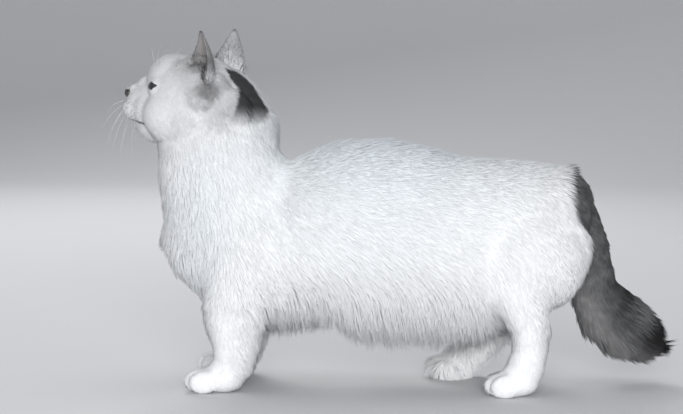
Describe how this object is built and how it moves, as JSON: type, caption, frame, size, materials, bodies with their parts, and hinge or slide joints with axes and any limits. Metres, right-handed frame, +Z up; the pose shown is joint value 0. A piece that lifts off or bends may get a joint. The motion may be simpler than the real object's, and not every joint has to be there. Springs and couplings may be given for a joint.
{
  "type": "munchkin cat",
  "caption": "Standing short-legged cat with a long body, raised head, medium-long coat and a bushy tail.",
  "frame": {"origin": "on the floor under the middle of the cat's bounding box", "axes": "+Z up, -X the way the cat faces, -Y the cat's left"},
  "size_m": [0.432, 0.135, 0.2767],
  "materials": {
    "white_coat": "white fur",
    "face_coat": "short white fur",
    "leg_coat": "short white fur",
    "grey_ear": "short grey fur",
    "dark_tail": "long dark grey fur",
    "eye": "wet and glossy",
    "nose_leather": "dark, fine-grained"
  },
  "bodies": {
    "root": {"torso": "white_coat", "neck": "white_coat", "head": "face_coat", "ear_left": "grey_ear", "ear_right": "face_coat", "eye_left": "eye", "eye_right": "eye", "nose": "nose_leather", "foreleg_left": "leg_coat", "foreleg_right": "leg_coat", "forepaw_left": "leg_coat", "forepaw_right": "leg_coat", "hindleg_left": "leg_coat", "hindleg_right": "leg_coat", "hindpaw_left": "leg_coat", "hindpaw_right": "leg_coat", "tail_root": "dark_tail", "tail_middle": "dark_tail", "tail_tip": "dark_tail"}
  },
  "joints": []
}
